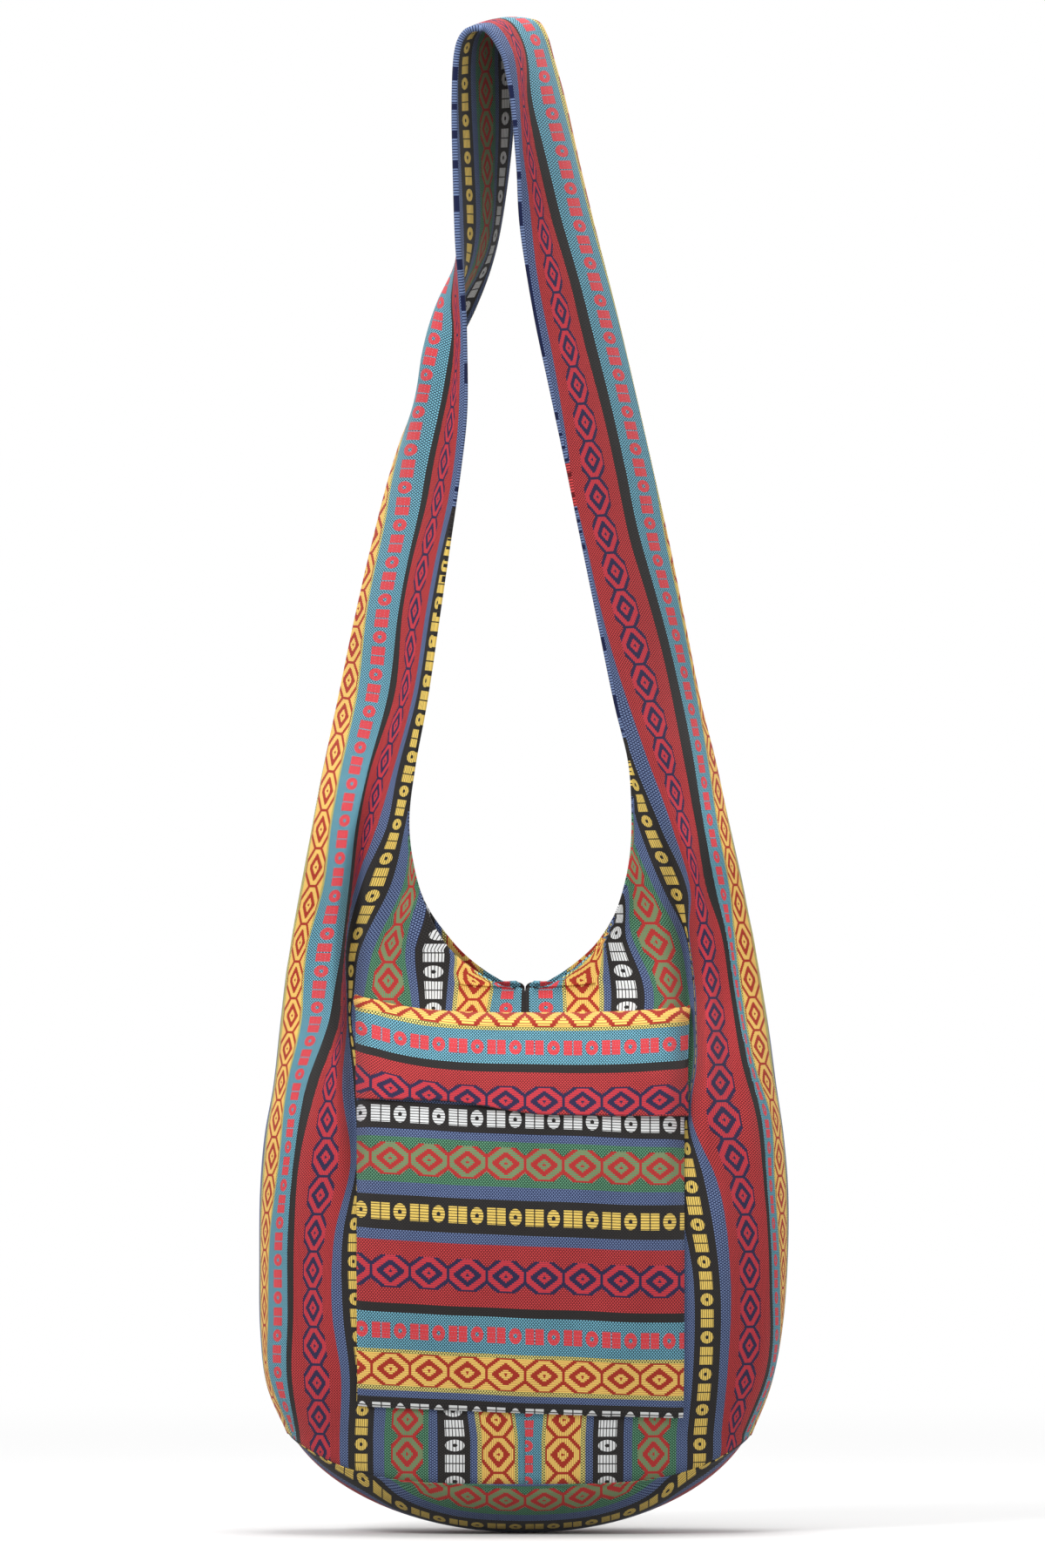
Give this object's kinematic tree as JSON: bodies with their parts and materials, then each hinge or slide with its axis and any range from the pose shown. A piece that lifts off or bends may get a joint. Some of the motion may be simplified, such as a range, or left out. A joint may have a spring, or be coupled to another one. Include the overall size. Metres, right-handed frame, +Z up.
{
  "type": "crossbody bag",
  "caption": "Woven cotton sling bag in striped ikat-style cloth, soft oval base, open mouth, wide shoulder strap grown from the side panels, and a patch pocket with a sewn flap on the front.",
  "frame": {"origin": "middle of the bag's outline seen from above, level with the lowest point of its base, with the strap hanging straight up", "axes": "+Z up along the hanging strap, front with the pocket faces -Y, wearer's view from the front has left at -X"},
  "size_m": [0.3496, 0.1672, 1.0007],
  "materials": {
    "left_front_panel_cloth": "striped plain-weave cotton",
    "right_front_panel_cloth": "striped plain-weave cotton",
    "left_strap_cloth": "striped plain-weave cotton",
    "right_strap_cloth": "striped plain-weave cotton",
    "left_back_panel_cloth": "striped plain-weave cotton",
    "right_back_panel_cloth": "striped plain-weave cotton",
    "base_panel_cloth": "striped plain-weave cotton",
    "front_pocket_cloth": "striped plain-weave cotton",
    "pocket_flap_cloth": "striped plain-weave cotton"
  },
  "bodies": {
    "root": {"left_front_panel": "left_front_panel_cloth", "right_front_panel": "right_front_panel_cloth", "left_strap": "left_strap_cloth", "right_strap": "right_strap_cloth", "left_back_panel": "left_back_panel_cloth", "right_back_panel": "right_back_panel_cloth", "base_panel": "base_panel_cloth", "front_pocket": "front_pocket_cloth", "pocket_flap": "pocket_flap_cloth"}
  },
  "joints": []
}
